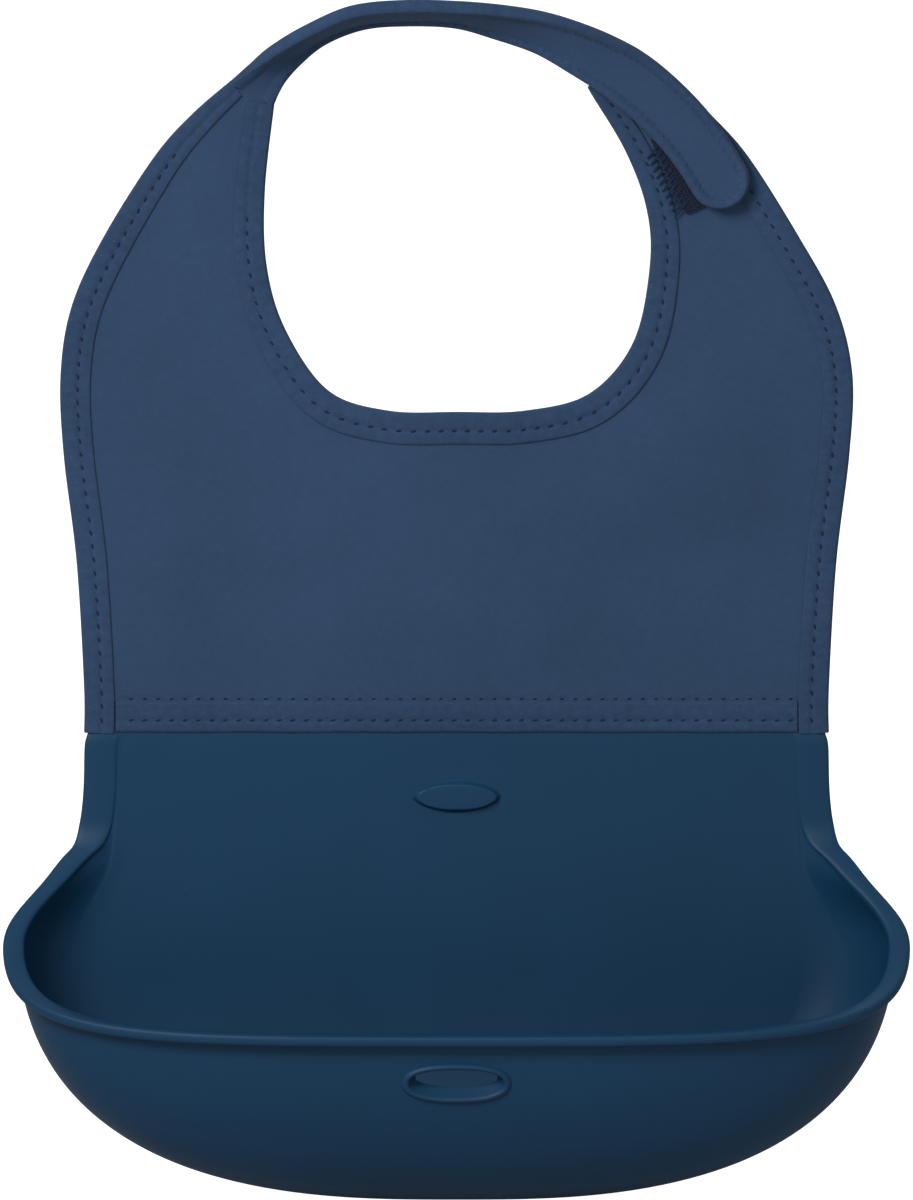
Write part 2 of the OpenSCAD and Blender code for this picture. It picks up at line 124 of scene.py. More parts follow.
def with_modifiers(bm, *modifiers):
    """The bmesh after live modifiers, each a kind and its settings, have been applied to it."""
    mesh = bpy.data.meshes.new("work")
    bm.to_mesh(mesh)
    bm.free()
    work = bpy.data.objects.new("work", mesh)
    bpy.context.scene.collection.objects.link(work)
    for kind, settings in modifiers:
        modifier = work.modifiers.new(kind, kind)
        for key, value in settings.items():
            setattr(modifier, key, value)
    shaped = work.evaluated_get(bpy.context.evaluated_depsgraph_get())
    result = bmesh.new()
    result.from_mesh(shaped.to_mesh())
    shaped.to_mesh_clear()
    bpy.data.objects.remove(work)
    bpy.data.meshes.remove(mesh)
    return result


# %% Smooth curves and even steps along them
def curve_through(points, steps):
    points = [Vector(p) for p in points]
    last = len(points) - 1
    made = []
    for i in range(last):
        before, a, b, after = points[max(i - 1, 0)], points[i], points[i + 1], points[min(i + 2, last)]
        for k in range(steps):
            t = k / steps
            made.append(0.5 * (2 * a + (b - before) * t + (2 * before - 5 * a + 4 * b - after) * t * t
                               + (3 * a - before - 3 * b + after) * t ** 3))
    return made + [points[-1]]


def even_steps(points, spacing):
    lengths = [0.0]
    for a, b in zip(points, points[1:]):
        lengths.append(lengths[-1] + (b - a).length)
    count = max(2, round(lengths[-1] / spacing))
    made, i = [], 0
    for k in range(count + 1):
        goal = lengths[-1] * k / count
        while i < len(points) - 2 and lengths[i + 1] < goal:
            i += 1
        share = (goal - lengths[i]) / (lengths[i + 1] - lengths[i])
        made.append(points[i].lerp(points[i + 1], share))
    return made


def mix(a, b, t):
    return a * (1 - t) + b * t


def smooth_step(low, high, x):
    t = min(1.0, max(0.0, (x - low) / (high - low)))
    return t * t * (3 - 2 * t)


# %% [markdown]
# ## Shader node groups
# The cloth pieces share one weave and one soft mottling, and the silicone has a fine moulded grain.
# Each effect is a node group, so that every material uses the same nodes with its own numbers.
# Groups put out only masks and heights; the shader itself stays in the material.

# %% Group helpers
def start_group(name, inputs, outputs):
    tree = bpy.data.node_groups.new(name, "ShaderNodeTree")
    for label, kind, value in inputs:
        socket = tree.interface.new_socket(label, in_out="INPUT", socket_type=kind)
        if value is not None:
            socket.default_value = value
    for label in outputs:
        tree.interface.new_socket(label, in_out="OUTPUT", socket_type="NodeSocketFloat")
    return tree, tree.nodes.new("NodeGroupInput"), tree.nodes.new("NodeGroupOutput")


def math_node(tree, operation, a, b=None):
    node = tree.nodes.new("ShaderNodeMath")
    node.operation = operation
    for socket, value in zip(node.inputs, (a, b)):
        if value is None:
            continue
        if isinstance(value, (int, float)):
            socket.default_value = value
        else:
            tree.links.new(value, socket)
    return node.outputs[0]


def noise_node(tree, vector, scale, detail=2.0, roughness=0.5):
    node = tree.nodes.new("ShaderNodeTexNoise")
    tree.links.new(vector, node.inputs["Vector"])
    if isinstance(scale, (int, float)):
        node.inputs["Scale"].default_value = scale
    else:
        tree.links.new(scale, node.inputs["Scale"])
    node.inputs["Detail"].default_value = detail
    node.inputs["Roughness"].default_value = roughness
    return node.outputs["Fac"]


# %% The weave group
def weave_group():
    tree, given, out = start_group("plain_weave", [
        ("Map", "NodeSocketVector", None), ("Threads per metre", "NodeSocketFloat", 1700.0),
        ("Slub", "NodeSocketFloat", 0.5)], ["Height", "Shade"])
    split = tree.nodes.new("ShaderNodeSeparateXYZ")
    tree.links.new(given.outputs["Map"], split.inputs[0])
    turns = math_node(tree, "MULTIPLY", given.outputs["Threads per metre"], math.pi)
    warp = math_node(tree, "SINE", math_node(tree, "MULTIPLY", split.outputs[0], turns))
    weft = math_node(tree, "SINE", math_node(tree, "MULTIPLY", split.outputs[1], turns))
    over_under = math_node(tree, "MULTIPLY", warp, weft)
    fibres = noise_node(tree, given.outputs["Map"], 2600.0, 3.0, 0.6)
    slub = noise_node(tree, given.outputs["Map"], 420.0, 2.0, 0.6)
    uneven = math_node(tree, "MULTIPLY", math_node(tree, "SUBTRACT", slub, 0.5), given.outputs["Slub"])
    weave = math_node(tree, "MULTIPLY", over_under, 0.25)
    height = math_node(tree, "ADD", math_node(tree, "ADD", weave, fibres), uneven)
    tree.links.new(height, out.inputs["Height"])
    shade = math_node(tree, "ADD", math_node(tree, "MULTIPLY", weave, 0.3),
                      math_node(tree, "ADD", math_node(tree, "MULTIPLY", fibres, 0.45),
                                math_node(tree, "ADD", uneven, 0.28)))
    tree.links.new(shade, out.inputs["Shade"])
    return tree


# %% The mottle group: soft, wide lighter and darker places
def mottle_group():
    tree, given, out = start_group("soft_mottle", [
        ("Place", "NodeSocketVector", None), ("Scale", "NodeSocketFloat", 16.0)], ["Mask"])
    wide = noise_node(tree, given.outputs["Place"], given.outputs["Scale"], 1.0, 0.4)
    near = noise_node(tree, given.outputs["Place"],
                      math_node(tree, "MULTIPLY", given.outputs["Scale"], 4.7), 2.0, 0.5)
    mask = math_node(tree, "ADD", math_node(tree, "MULTIPLY", wide, 0.75),
                     math_node(tree, "MULTIPLY", near, 0.25))
    tree.links.new(mask, out.inputs["Mask"])
    return tree


# %% The moulded grain group, with sparse lint for handled rubber
def grain_group():
    tree, given, out = start_group("moulded_grain", [
        ("Place", "NodeSocketVector", None)], ["Height", "Rough", "Lint"])
    fine = noise_node(tree, given.outputs["Place"], 1500.0, 2.0, 0.6)
    tree.links.new(fine, out.inputs["Height"])
    hand = noise_node(tree, given.outputs["Place"], 28.0, 3.0, 0.6)
    rough = math_node(tree, "ADD", math_node(tree, "MULTIPLY", hand, 0.12),
                      math_node(tree, "MULTIPLY", fine, 0.06))
    tree.links.new(rough, out.inputs["Rough"])
    cells = tree.nodes.new("ShaderNodeTexVoronoi")
    cells.inputs["Scale"].default_value = 160.0
    tree.links.new(given.outputs["Place"], cells.inputs["Vector"])
    speck = math_node(tree, "LESS_THAN", cells.outputs["Distance"], 0.035)
    rare = math_node(tree, "GREATER_THAN", noise_node(tree, given.outputs["Place"], 60.0), 0.56)
    tree.links.new(math_node(tree, "MULTIPLY", speck, rare), out.inputs["Lint"])
    return tree


weave, mottle, grain = weave_group(), mottle_group(), grain_group()
print("groups:", [g.name for g in bpy.data.node_groups])

# %% [markdown]
# ## Materials
# The cloth is matte polyester, so it has high roughness and a little sheen. The binding tape is the
# same cloth, a touch more uneven because it is folded and pressed. The silicone is a deeper blue
# with a soft satin gloss. Colours are in linear light, as Blender's sockets take them.

# %% A material's first nodes
def start_material(name, roughness, sheen=0.0, specular=0.5):
    material = bpy.data.materials.new(name)
    material.use_nodes = True
    tree = material.node_tree
    shader = tree.nodes["Principled BSDF"]
    shader.inputs["Roughness"].default_value = roughness
    shader.inputs["Specular IOR Level"].default_value = specular
    shader.inputs["Sheen Weight"].default_value = sheen
    shader.inputs["Sheen Roughness"].default_value = 0.5
    place = tree.nodes.new("ShaderNodeTexCoord")
    return material, tree, shader, place


def use_group(tree, group, **values):
    node = tree.nodes.new("ShaderNodeGroup")
    node.node_tree = group
    for key, value in values.items():
        socket = node.inputs[key.replace("_", " ")]
        if isinstance(value, (int, float)):
            socket.default_value = value
        else:
            tree.links.new(value, socket)
    return node


def colour_between(tree, mask, dark, light, low=0.3, high=0.7):
    ramp = tree.nodes.new("ShaderNodeValToRGB")
    ramp.color_ramp.elements[0].position, ramp.color_ramp.elements[0].color = low, (*dark, 1)
    ramp.color_ramp.elements[1].position, ramp.color_ramp.elements[1].color = high, (*light, 1)
    tree.links.new(mask, ramp.inputs[0])
    return ramp.outputs[0]


def add_bump(tree, shader, height, strength, distance):
    bump = tree.nodes.new("ShaderNodeBump")
    bump.inputs["Strength"].default_value = strength
    bump.inputs["Distance"].default_value = distance
    tree.links.new(height, bump.inputs["Height"])
    tree.links.new(bump.outputs[0], shader.inputs["Normal"])


# %% Woven cloth in its several shades
def scaled(colour, share):
    return [channel * share for channel in colour]


def woven(name, colour, threads=1700.0, slub=0.5, contrast=0.16, bump=0.35, sheen=0.06):
    material, tree, shader, place = start_material(name, 0.88, sheen, 0.12)
    cloth_map = tree.nodes.new("ShaderNodeUVMap")
    cloth_map.uv_map = "cloth_map"
    threads_node = use_group(tree, weave, Map=cloth_map.outputs[0], Threads_per_metre=threads, Slub=slub)
    patches = use_group(tree, mottle, Place=place.outputs["Object"])
    both = math_node(tree, "ADD", math_node(tree, "MULTIPLY", threads_node.outputs["Shade"], 0.5),
                     math_node(tree, "MULTIPLY", patches.outputs["Mask"], 0.5))
    tree.links.new(colour_between(tree, both, scaled(colour, 1 - contrast), scaled(colour, 1 + contrast),
                                  0.3, 0.7), shader.inputs["Base Color"])
    add_bump(tree, shader, threads_node.outputs["Height"], bump, 0.00012)
    return material


cloth = woven("navy_cloth", (0.030, 0.062, 0.126))
lining = woven("navy_lining", (0.028, 0.058, 0.118), threads=1400.0)
binding = woven("navy_binding", (0.028, 0.058, 0.120), slub=1.0, contrast=0.22, bump=0.5)
thread = woven("navy_thread", (0.011, 0.021, 0.052), threads=5200.0, contrast=0.25, bump=0.6)
# The loop pile's colour is partly its own dark navy and partly painted shade: it is darkened for the deep
# shadow that lies under the strap.
pile = woven("loop_pile", (0.006, 0.012, 0.031), threads=2600.0, contrast=0.3, bump=0.8, sheen=0.3)
label_cloth = woven("label_satin", (0.62, 0.64, 0.66), threads=3800.0, contrast=0.05, bump=0.3)
print("cloth materials:", [m.name for m in bpy.data.materials])


# %% Hook tape and silicone
def moulded(name, colour, roughness, specular, bump, mottling=0.08):
    material, tree, shader, place = start_material(name, roughness, 0.0, specular)
    skin = use_group(tree, grain, Place=place.outputs["Object"])
    patches = use_group(tree, mottle, Place=place.outputs["Object"], Scale=9.0)
    body = colour_between(tree, patches.outputs["Mask"], scaled(colour, 1 - mottling),
                          scaled(colour, 1 + mottling))
    with_lint = tree.nodes.new("ShaderNodeMix")
    with_lint.data_type = "RGBA"
    lint_share = math_node(tree, "MULTIPLY", skin.outputs["Lint"], 0.10)
    tree.links.new(lint_share, with_lint.inputs["Factor"])
    tree.links.new(body, with_lint.inputs["A"])
    with_lint.inputs["B"].default_value = (0.30, 0.34, 0.38, 1)
    tree.links.new(with_lint.outputs["Result"], shader.inputs["Base Color"])
    uneven = math_node(tree, "ADD", skin.outputs["Rough"], roughness - 0.09)
    tree.links.new(uneven, shader.inputs["Roughness"])
    add_bump(tree, shader, skin.outputs["Height"], bump, 0.00004)
    return material


silicone = moulded("satin_silicone", (0.0052, 0.041, 0.096), 0.50, 0.22, 0.25)
hook_tape = moulded("hook_tape", (0.016, 0.032, 0.072), 0.45, 0.5, 0.4)
print("moulded materials:", silicone.name, hook_tape.name)

# %% [markdown]
# ## The cloth layers
# Two layers of cloth lie back to back. Each one starts as a copy of its solid: the copy's outward
# faces are kept, dissolved to one face, and cut along evenly spaced planes, which gives a fine grid
# that still has the exact outline. A simulation isn't needed, because the cloth lies almost flat:
# the points move a little, as real cloth does between its seams.

# %% The bib's edges, by their design points
edge_proud, cloth_gap, pack_half, bind_half = 0.65, 0.05, 1.0, 1.6
half_hem, half_chest, neck_r = 107.5, 114.0, 57.0
shoulder_lean, lean_from, lean_over = 1.5, seam_z + 105, 40
side_edge = [
    (half_hem, seam_z), (half_hem, seam_z + 14), (half_hem + 2, seam_z + 50),
    (half_chest - 0.8, seam_z + 82), (half_chest, seam_z + 105), (half_chest - 4, seam_z + 125),
    (100.1, -6), (85.4, 17.5), (74.4, 30)]
right_tip = [(63, 40), (53, 47.6), (46, 50.2), (39.5, 48.5), (36.6, 42)]
horn_out, horn_in = (-64.9, 39.6), (-53.2, 33.5)
neck_edge = [
    horn_in, (-neck_r + 1, 8), (-neck_r + 1.5, -14), (-50, -33), (-37.5, -51), (-20, -neck_r),
    (0, -neck_r - 0.4), (20, -neck_r), (38.8, -51.9), (51.7, -36.6), (neck_r - 0.5, -14),
    (neck_r - 1.5, 3), (49.3, 20), (39.5, 36.5), (36.6, 42)]


def leaning(points, way):
    """The side edge on the right (1) or the left (-1): the shoulders lie a little to the left."""
    return [(way * x - shoulder_lean * min(1, max(0, (z - lean_from) / lean_over)), z)
            for x, z in points]


def flat_path(points, spacing):
    return even_steps([Vector((x, 0, z)) for x, z in curve_through(points, 10)], spacing)


stitch_pitch = 3.9
row_step = stitch_pitch / 3
right_path = flat_path(leaning(side_edge, 1) + right_tip, row_step)
left_path = flat_path(leaning(side_edge, -1) + [horn_out], row_step)[::-1]
neck_path = flat_path(neck_edge, row_step)[::-1]
print("edge lengths in rows:", len(left_path), len(neck_path), len(right_path))


# %% How far cloth may rise: nothing at a seam, most in the middle
seam_points = [p for path in (left_path, neck_path, right_path) for p in path[::4]]


def seam_distance(x, z):
    edge = min((p.x - x) ** 2 + (p.z - z) ** 2 for p in seam_points) ** 0.5
    return max(0.0, min(edge - 8.5, z - seam_z - 11))


def cloth_rise(x, z, seed):
    free = seam_distance(x, z)
    wide = noise.noise(Vector((x * 0.016, seed, z * 0.021))) + 0.6 * noise.noise(
        Vector((x * 0.034, seed + 9, z * 0.045)))
    wander = 1.7 * noise.noise(Vector((x * 0.05, seed, z * 0.05)))
    pull = math.sin(x * 0.33 + wander) * math.exp(-free / 7)
    return smooth_step(0, 26, free) * (0.55 + 0.9 * wide) + 0.05 * pull * smooth_step(0, 2, free)


# %% Cut each layer from its solid
grid_step = 3.4


def cloth_layer(name, node, front_y, way, seed, material):
    bm = bmesh.new()
    bm.from_mesh(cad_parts[node].data)
    bmesh.ops.remove_doubles(bm, verts=bm.verts, dist=0.01 * MM)
    bm.normal_update()
    others = [f for f in bm.faces if f.normal.y * way < 0.9]
    bmesh.ops.delete(bm, geom=others, context="FACES")
    bmesh.ops.dissolve_limit(bm, angle_limit=0.02, verts=bm.verts, edges=bm.edges)
    low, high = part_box(node)
    for axis in (0, 2):
        count = int((high[axis] - low[axis]) / MM / grid_step)
        for k in range(1, count + 1):
            at, normal = Vector((0, 0, 0)), Vector((0, 0, 0))
            at[axis], normal[axis] = low[axis] + (high[axis] - low[axis]) * k / (count + 1), 1
            bmesh.ops.bisect_plane(bm, geom=bm.verts[:] + bm.edges[:] + bm.faces[:],
                                   dist=1e-7, plane_co=at, plane_no=normal)
    for v in bm.verts:
        rise = max(0.0, cloth_rise(v.co.x / MM, v.co.z / MM, seed))
        v.co.y = (front_y + way * rise) * MM
    thickness = (pack_half - cloth_gap) * MM
    bm = with_modifiers(bm, ("SOLIDIFY", {"thickness": thickness, "offset": -1.0}))
    map_from_front(bm)
    print(name, len(bm.faces), "faces")
    return make_piece(name, bm, material)


cloth_front = cloth_layer("cloth_front", "front_cloth", -pack_half, -1, 3.0, cloth)
cloth_back = cloth_layer("cloth_back", "back_lining", pack_half, 1, 8.0, lining)

# %% [markdown]
# ## The binding tape
# Each raw edge is covered by tape folded round it. Its section is a narrow U: front flap, round
# fold, back flap, and the same again inside, next to the cloth. The section runs along the edge's
# path, and it dips at the stitch line once for every stitch, which makes the puckers.

# %% The tape's section
stitch_share = 0.55


def stitch_pull(travel):
    """1 where a stitch goes in, and 0 midway between two of them."""
    return 0.5 + 0.5 * math.cos(2 * math.pi * travel / stitch_pitch)


def flap_height(s, width, travel):
    """Height of the tape's face above the cloth's middle, at s in from the cloth's edge."""
    pull = stitch_pull(travel)
    dip = math.exp(-((s - stitch_share * width) / 0.75) ** 2) * (0.14 + 0.32 * pull)
    crown = 0.16 * math.sin(math.pi * min(1.0, max(0.0, s / width))) ** 0.8
    ripple = 0.07 * pull * math.sin(math.pi * min(1.0, max(0.0, s / width)))
    return bind_half + crown + ripple - dip


def rolled_height(s, width):
    """The same where the edge is turned and rolled, and runs out into the cloth with no step."""
    return mix(bind_half + 0.3, pack_half + 0.08, smooth_step(0.3, 1.02, s / width))


def tape_section(width, travel, lift=0.0, rolled=False):
    """The closed section as (distance in from the edge, height) points, front flap first."""
    shares = [0.9, 0.8, 0.72, 0.65, 0.6, 0.55, 0.5, 0.45, 0.38, 0.3, 0.2, 0.1, 0.02]
    if rolled:
        front = [(width + past, pack_half + up)
                 for past, up in ((0.05, 0.02), (0.04, 0.05), (0, 0.07))]
        front += [(share * width, rolled_height(share * width, width)) for share in [0.96] + shares]
    else:
        front = [(width + 0.05, pack_half + 0.06), (width + 0.16, bind_half - 0.28),
                 (width + 0.02, bind_half - 0.06)]
        front += [(share * width, flap_height(share * width, width, travel))
                  for share in [0.96] + shares]
    fold = [(-edge_proud * math.sin(a) + 0.05, bind_half * math.cos(a)) for a in (0.35, 0.75, 1.15)]
    outer = [(s, h + lift) for s, h in front + fold]
    inner = [(0.0, 0.6 * pack_half), (0.03, pack_half + 0.03 + lift), (0.5 * width, pack_half + 0.03 + lift)]
    return (outer + [(-edge_proud, 0.0)] + [(s, -h) for s, h in reversed(outer)]
            + [(s, -h) for s, h in reversed(inner)] + [(-0.02, 0.0)] + inner)


# %% Tape along a path of (point, inward direction, face direction)
def tape(name, path, widths, lifts=None, spacing=row_step, rolled=False):
    lifts = lifts or [0.0] * len(path)
    sections = [tape_section(w, i * spacing, lift, rolled)
                for i, (w, lift) in enumerate(zip(widths, lifts))]
    around = len(sections[0])

    def place(u, t):
        i, k = round(t * (len(path) - 1)), round(u * around) % around
        point, inward, face = path[i]
        s, h = sections[i][k]
        return point + inward * s + face * h

    bm = shaped_grid(around, len(path) - 1, place, wide=2 * max(widths) + 4,
                     long=spacing * (len(path) - 1), close_ends=True)
    return make_piece(name, bm, binding, sharp=70)


def with_directions(path):
    """Adds to each point of a flat path the direction into the cloth, which is on its left."""
    made = []
    for i, p in enumerate(path):
        run = (path[min(i + 1, len(path) - 1)] - path[max(i - 1, 0)]).normalized()
        made.append((p, Vector((-run.z, 0, run.x)), Vector((0, -1, 0))))
    return made


def tapered(path, wide, first, last):
    shares = [2 * i / (len(path) - 1) - 1 for i in range(len(path))]
    return [wide - (wide - (first if t < 0 else last)) * abs(t) ** 3 for t in shares]


left_widths = tapered(left_path, 8.0, 4.6, 8.0)
neck_widths = tapered(neck_path, 8.5, 4.0, 7.0)
right_widths = tapered(right_path, 8.0, 8.0, 3.0)
neck_start, under_strap, left_start = 3, 24, 18
tip_lifts = [0.75 * smooth_step(len(right_path) - 34, len(right_path) - 24, i)
             for i in range(len(right_path))]
neck_tape = tape("neck_tape", with_directions(neck_path)[neck_start:], neck_widths[neck_start:])
left_tape = tape("left_tape", with_directions(left_path), left_widths)
right_tape = tape("right_tape", with_directions(right_path), right_widths, tip_lifts)
print("tapes:", [len(o.data.polygons) for o in (neck_tape, left_tape, right_tape)])

# %% [markdown]
# ## The hem bands
# Across the bottom a stitched band covers the silicone's sewn edge, in front and behind. Its top is
# a turned ledge, and the cloth above it is caught by a second row of stitches. It is the same kind
# of strip, with its own section.

# %% A hem band, front or back
hem_half = 98.9
ledge, band_top = 8.7, 11.0
lower_row, upper_row = 3.6, 9.8


def band_height(z, travel):
    pull = stitch_pull(travel)
    slant = stitch_pull(travel + 1.1 * z)
    dip = math.exp(-((z - lower_row) / 0.8) ** 2) * (0.14 + 0.3 * pull)
    crown = 0.2 * math.sin(math.pi * min(1, max(0, z / ledge))) + 0.16 * slant * smooth_step(5.0, 2.6, z)
    step = 0.42 * smooth_step(ledge - 0.35, ledge + 0.25, z)
    return bind_half + crown - dip - step - 0.08 * math.exp(-((z - upper_row) / 0.6) ** 2) * pull


def hem_band(name, way):
    zs = [0.0, 0.12, 0.4, 1.0, 1.7, 2.4, 3.0, 3.6, 4.2, 4.8, 5.6, 6.5, 7.4, 8.1, 8.4, 8.6, 8.8, 9.0,
          9.4, 9.8, 10.2, 10.7, band_top]
    rows = round(2 * hem_half / row_step)

    def place(u, t):
        k, travel = round(u * (len(zs) + 2)) % (len(zs) + 2), t * 2 * hem_half
        x = -hem_half + travel
        wave = 0.12 * math.sin(travel * 0.21) + 0.06 * math.sin(2 * math.pi * travel / stitch_pitch)
        if k >= len(zs):
            z = (band_top, 0.05)[k - len(zs)]
            return (x, way * (pack_half + 0.02), seam_z + z)
        z = zs[k]
        height = band_height(z, travel) - 0.4 * (1 - smooth_step(-0.2, 0.5, z)) - (
            0.12 * smooth_step(10.2, 11, z))
        return (x, way * height, seam_z + z + (wave if z < 2 else 0) * (1 - z / 2) * 0.7 + 0.15)

    bm = shaped_grid(len(zs) + 2, rows, place, wide=band_top * 2, long=2 * hem_half, close_ends=True)
    return make_piece(name, bm, binding, sharp=60)


hem_front, hem_back = hem_band("hem_front", -1), hem_band("hem_back", 1)
print("hem bands:", len(hem_front.data.polygons), "faces each")

# %% [markdown]
# ## Stitches
# Thread shows as a row of short rounded dashes that sink in at their ends. One small sphere with few
# faces is pulled long and set down once for each stitch, on the front and again on the back.

# %% Rows of stitches
stitch_long, thread_d = 1.7, 0.58


def add_stitch(bm, at, run, face, long=stitch_long, thick=thread_d):
    side = run.cross(face).normalized()
    basis = Matrix((run.normalized() * long / 2, side * thick * 0.62, face * thick / 2)).transposed()
    made = bmesh.ops.create_uvsphere(bm, u_segments=6, v_segments=5, radius=1.0)["verts"]
    for v in made:
        v.co = (basis @ Vector((v.co.z, v.co.x, v.co.y)) + at) * MM


def stitch_piece(name, rows, long=stitch_long, thick=thread_d, material=thread):
    """Each row is a path with directions, how far in it lies, its height, and every nth point."""
    bm = bmesh.new()
    for path, offsets, height, every in rows:
        points = [p + inward * s + face * height for (p, inward, face), s in zip(path, offsets)]
        for i in range(every, len(points) - 1, every):
            slant = (path[i][1] * 0.22 + (points[i + 1] - points[i - 1]).normalized()).normalized()
            add_stitch(bm, points[i], slant, path[i][2], long, thick)
    map_from_front(bm, depth_share=1.0)
    return make_piece(name, bm, material)


def both_sides(path, offsets, height, every=3):
    behind = [(p, inward, -face) for p, inward, face in path]
    return [(path, offsets, height, every), (behind, offsets, height, every)]


stitch_height = bind_half - 0.03
neck_stitches = stitch_piece("neck_thread", both_sides(
    with_directions(neck_path)[neck_start:-under_strap],
    [w * stitch_share for w in neck_widths[neck_start:-under_strap]], stitch_height))
left_stitches = stitch_piece("left_thread", both_sides(
    with_directions(left_path)[left_start:],
    [w * stitch_share for w in left_widths[left_start:]], stitch_height))
right_stitches = stitch_piece("right_thread", both_sides(
    with_directions(right_path)[:-under_strap], [w * stitch_share for w in right_widths], stitch_height))


def hem_row(z, height):
    run = even_steps([Vector((-hem_half + 0.6, 0, seam_z + z)), Vector((hem_half - 0.6, 0, seam_z + z))],
                     row_step)
    path = [(p, Vector((0, 0, 1)), Vector((0, -1, 0))) for p in run]
    return both_sides(path, [0.15] * len(path), height)


hem_lower = stitch_piece("hem_lower_thread", hem_row(lower_row, bind_half - 0.02))
hem_upper = stitch_piece("hem_upper_thread", hem_row(upper_row, bind_half - 0.52), long=1.3)
print("thread pieces:", len(neck_stitches.data.polygons), len(hem_lower.data.polygons))

# %% [markdown]
# ## The strap and its tab
# The strap goes on from the left shoulder, twists as it passes behind the neck, and ends in a round
# tab over the right shoulder. It is drawn by its two edges, station by station. Near the shoulder it
# has to follow the bib's top and the moving strap, and near the tab the strap and the tab, so each
# layer is made in two lengths that meet halfway.

# %% The strap's stations
outer_stations = [
    (-64.9, 0, 39.6), (-58.5, -4.2, 45.4), (-52.5, -8.4, 50.4), (-43, -11.6, 56.4), (-30, -13, 62.2),
    (-14.5, -13.4, 63.9), (0, -13.4, 63.6), (13, -13, 62.6), (25.5, -11.7, 60.6), (37.9, -9.5, 56.8),
    (49.2, -6.7, 51.5)]
inner_stations = [
    (-53.2, 0, 33.5), (-50.1, 0.9, 40.2), (-45.8, 1.4, 45.9), (-38.5, 1.4, 52), (-27.5, 1.3, 56.4),
    (-15.5, 1.0, 57.6), (-0.5, 0.4, 57.1), (11.5, -0.7, 53.8), (22.8, -2.3, 49.8), (31.8, -4.0, 44.4),
    (40.8, -4.5, 38.5)]
arc_mid, strap_r, tab_half, tab_y = Vector((-6.6, 0, -34.4)), 94.7, 8.0, -4.9
tab_angle, tip_angle = 52.0, 29.3


def on_arc(radius, degrees, y=tab_y):
    a = math.radians(degrees)
    return arc_mid + Vector((radius * math.cos(a), y, radius * math.sin(a)))


tab_angles = [tab_angle + (tip_angle - tab_angle) * k / 4 for k in range(5)]
outer_curve = curve_through(outer_stations + [on_arc(strap_r + tab_half, a) for a in tab_angles], 8)
inner_curve = curve_through(inner_stations + [on_arc(strap_r - tab_half, a) for a in tab_angles], 8)
halfway = 44
strap_step, strap_tape_w = 1.6, 3.2
print("strap rows:", len(outer_curve), "meet at row", halfway)


# %% The strap's cross direction and face direction at each row
def strap_rows():
    mids = [(a + b) / 2 for a, b in zip(outer_curve, inner_curve)]
    rows = []
    for i, mid in enumerate(mids):
        run = mids[min(i + 1, len(mids) - 1)] - mids[max(i - 1, 0)]
        across = (outer_curve[i] - inner_curve[i]).normalized()
        half = (outer_curve[i] - inner_curve[i]).length / 2
        rows.append((mid, across, half, run.cross(across).normalized()))
    tip, across = mids[-1], rows[-1][1]
    face = Vector((0, -1, 0))
    ahead = across.cross(face).normalized()
    for k in range(1, 11):
        a = math.pi / 2 * k / 10
        rows.append((tip + ahead * tab_half * math.sin(a), across,
                     max(0.02, tab_half * math.cos(a)), face))
    return rows


rows = strap_rows()
last_flat = len(outer_curve) - 1


# %% Cloth layers of the strap
def strap_layer(name, first, last, low, high, material, seed):
    used, n = rows[first:last + 1], 14

    def place(u, t):
        mid, across, half, face = used[round(t * (len(used) - 1))]
        k = round(u * (2 * n + 2)) % (2 * n + 2)
        top = k <= n
        side = (-1 + 2 * k / n) if top else (1 - 2 * (k - n - 1) / n)
        puff = 0.22 * (1 - side ** 2) * (1 + noise.noise(Vector((mid.x * 0.06, side * 1.3, seed))))
        height = (high + (puff if high > 0 else 0)) if top else (low - (puff if high <= 0 else 0))
        return mid + across * side * max(0.01, half - 0.05) + face * height

    bm = shaped_grid(2 * n + 2, len(used) - 1, place, wide=34, long=(last - first) * strap_step,
                     close_ends=True)
    return make_piece(name, bm, material)


far_row = len(rows) - 1
strap_pieces, tab_pieces = [], []
for part, first, last, into in (("strap", 0, halfway, strap_pieces),
                                ("tab", halfway, far_row, tab_pieces)):
    into.append(strap_layer(part + "_cloth", first, last, cloth_gap, pack_half, cloth, 1.0))
    into.append(strap_layer(part + "_back", first, last, -pack_half, -cloth_gap, lining, 5.0))
print("strap layers:", [o.name for o in strap_pieces + tab_pieces])


# %% Tape round the strap's edges and the tab's round tip
def edge_rows(side, first, last):
    """The strap's outer (1) or inner (-1) edge as a tape path."""
    made = []
    for i in range(first, last + 1):
        mid, across, half, face = rows[i]
        if i <= last_flat:
            made.append((mid + across * side * half, -side * across, face))
        else:
            centre = rows[last_flat][0]
            out = (mid + across * side * half - centre).normalized()
            made.append((centre + out * tab_half, -out, face))
    return made


def strap_tape_widths(first, last, start):
    return [strap_tape_w + (start - strap_tape_w) * (1 - smooth_step(0, 26, i))
            for i in range(first, last + 1)]


for name, side, start in (("strap_tape_outer", 1, 4.6), ("strap_tape_inner", -1, 4.0)):
    strap_pieces.append(tape(name, edge_rows(side, 0, halfway), strap_tape_widths(0, halfway, start),
                             spacing=strap_step, rolled=True))
round_tab = edge_rows(1, halfway, far_row) + edge_rows(-1, halfway, far_row - 1)[::-1]
tab_pieces.append(tape("tab_tape", round_tab, [strap_tape_w] * len(round_tab), spacing=strap_step,
                       rolled=True))


# %% Stitches of the strap and the tab
def strap_stitch_rows(path, share, every=2):
    return both_sides(path, [strap_tape_w * share] * len(path), bind_half - 0.12, every)


